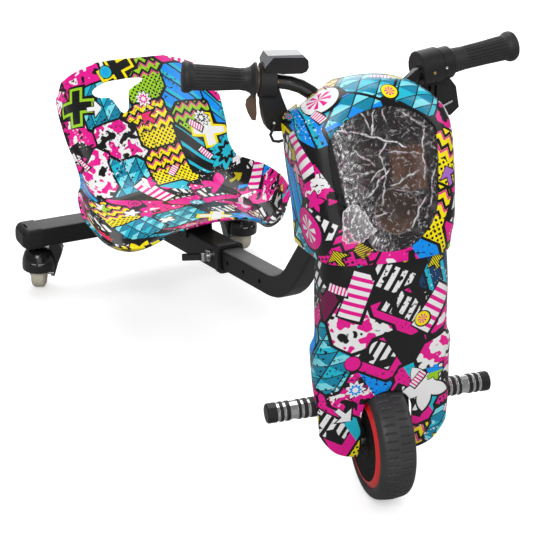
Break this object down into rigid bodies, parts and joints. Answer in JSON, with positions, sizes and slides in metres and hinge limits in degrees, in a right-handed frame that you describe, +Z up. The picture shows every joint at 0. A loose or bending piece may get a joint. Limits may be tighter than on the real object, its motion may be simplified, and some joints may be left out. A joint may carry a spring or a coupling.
{
  "type": "drift trike",
  "caption": "Drift trike: raked fork with a motor wheel, tall printed fairing and foot pegs in front, bucket seat on a sliding tube with swivel casters behind.",
  "frame": {"origin": "On the ground under the middle of the part's overall box.", "axes": "+X is to the rider's left, +Y to the rear along the frame, +Z up. The steering rests turned 13.2 degrees to the rider's right, as pictured."},
  "size_m": [0.5554, 1.1151, 0.7104],
  "materials": {
    "frame_black": "satin black powder coat",
    "steel_bright": "bright plated steel",
    "alloy_dark": "black and bright banded alloy",
    "rubber_black": "matte rubber",
    "tyre_black": "treaded tyre rubber",
    "plastic_black": "matte moulded plastic",
    "rim_red": "gloss red",
    "shell_print": "gloss shell with a bright pop print",
    "lens_smoke": "smoked lens under clear film",
    "window_clear": "clear plastic",
    "paddle_brown": "translucent brown",
    "caster_cream": "cream rolling wheel",
    "battery_case": "dark case"
  },
  "bodies": {
    "frame": {"main_frame": "frame_black", "headset_lower": "steel_bright", "headset_upper": "steel_bright"},
    "steering": {"fork": "frame_black", "wheel_axle": "steel_bright", "axle_nut_left": "steel_bright", "axle_nut_right": "steel_bright", "peg_left": "alloy_dark", "peg_right": "alloy_dark", "battery_pack": "battery_case", "fairing_bracket": "frame_black", "fairing_lower": "shell_print", "fairing_upper": "shell_print", "lens": "lens_smoke", "lamp_tray": "plastic_black", "lamp_bracket": "frame_black", "stem": "frame_black", "stem_cap": "frame_black", "handlebar": "frame_black", "grip_left": "rubber_black", "grip_right": "rubber_black", "throttle_housing": "plastic_black", "gauge_window": "window_clear", "control_cable": "rubber_black", "switch_ring": "plastic_black", "brake_clamp": "plastic_black", "brake_rod": "steel_bright"},
    "front_wheel": {"front_tyre": "tyre_black", "hub_motor": "alloy_dark", "rim_ring_left": "rim_red", "rim_ring_right": "rim_red", "hub_cover_left": "plastic_black", "hub_cover_right": "plastic_black"},
    "thumb_lever": {"thumb_lever": "paddle_brown"},
    "brake_lever": {"brake_lever": "frame_black"},
    "rear_carriage": {"rear_frame": "frame_black", "sleeve_collar": "plastic_black", "end_cap_left": "plastic_black", "end_cap_right": "plastic_black", "seat": "shell_print", "seat_bracket": "frame_black", "seat_bolt_left": "steel_bright", "seat_bolt_right": "steel_bright", "clamp_bolt": "steel_bright", "caster_plate_left": "plastic_black", "caster_plate_right": "plastic_black", "caster_stem_left": "steel_bright", "caster_stem_right": "steel_bright"},
    "clamp_lever": {"clamp_lever": "plastic_black"},
    "caster_left": {"caster_hood_left": "plastic_black", "caster_band_left": "steel_bright", "caster_axle_left": "steel_bright"},
    "caster_right": {"caster_hood_right": "plastic_black", "caster_band_right": "steel_bright", "caster_axle_right": "steel_bright"},
    "caster_wheel_left": {"caster_wheel_left": "caster_cream"},
    "caster_wheel_right": {"caster_wheel_right": "caster_cream"}
  },
  "joints": [
    {"name": "steering_turn", "type": "hinge", "parent": "frame", "child": "steering", "pos_m": [0, -0.36085, 0.48811], "axis": [0, 0.2079, 0.9781], "range_deg": [-26.8, 53.2]},
    {"name": "front_wheel_spin", "type": "hinge", "parent": "steering", "child": "front_wheel", "pos_m": [-0.00343, -0.4583, 0.09989], "axis": [0.9736, -0.2234, 0.0475], "continuous": true},
    {"name": "thumb_lever_press", "type": "hinge", "parent": "steering", "child": "thumb_lever", "pos_m": [-0.14484, -0.26176, 0.65976], "axis": [-0.9291, 0.3672, 0.0429], "range_deg": [0, 30], "stiffness_Nm_per_rad": 0.25},
    {"name": "brake_lever_pull", "type": "hinge", "parent": "steering", "child": "brake_lever", "pos_m": [0.14976, -0.32282, 0.60801], "axis": [0.0475, -0.0054, -0.9989], "range_deg": [0, 15], "stiffness_Nm_per_rad": 0.8},
    {"name": "carriage_slide", "type": "slide", "parent": "frame", "child": "rear_carriage", "axis": [0, 0.9895, -0.1444], "range_m": [-0.127, 0.063]},
    {"name": "clamp_lever_turn", "type": "hinge", "parent": "rear_carriage", "child": "clamp_lever", "pos_m": [-0.0385, 0.12204, 0.18362], "axis": [0, -0.1444, -0.9895], "range_deg": [-15, 55]},
    {"name": "caster_left_swivel", "type": "hinge", "parent": "rear_carriage", "child": "caster_left", "pos_m": [-0.235, 0.48331, 0.05997], "axis": [0, 0, 1], "continuous": true},
    {"name": "caster_right_swivel", "type": "hinge", "parent": "rear_carriage", "child": "caster_right", "pos_m": [0.235, 0.48331, 0.05997], "axis": [0, 0, 1], "continuous": true},
    {"name": "caster_left_spin", "type": "hinge", "parent": "caster_left", "child": "caster_wheel_left", "pos_m": [-0.23265, 0.48773, 0.031], "axis": [0.8829, -0.4695, 0], "continuous": true},
    {"name": "caster_right_spin", "type": "hinge", "parent": "caster_right", "child": "caster_wheel_right", "pos_m": [0.23456, 0.48829, 0.031], "axis": [0.9962, 0.0872, 0], "continuous": true}
  ]
}
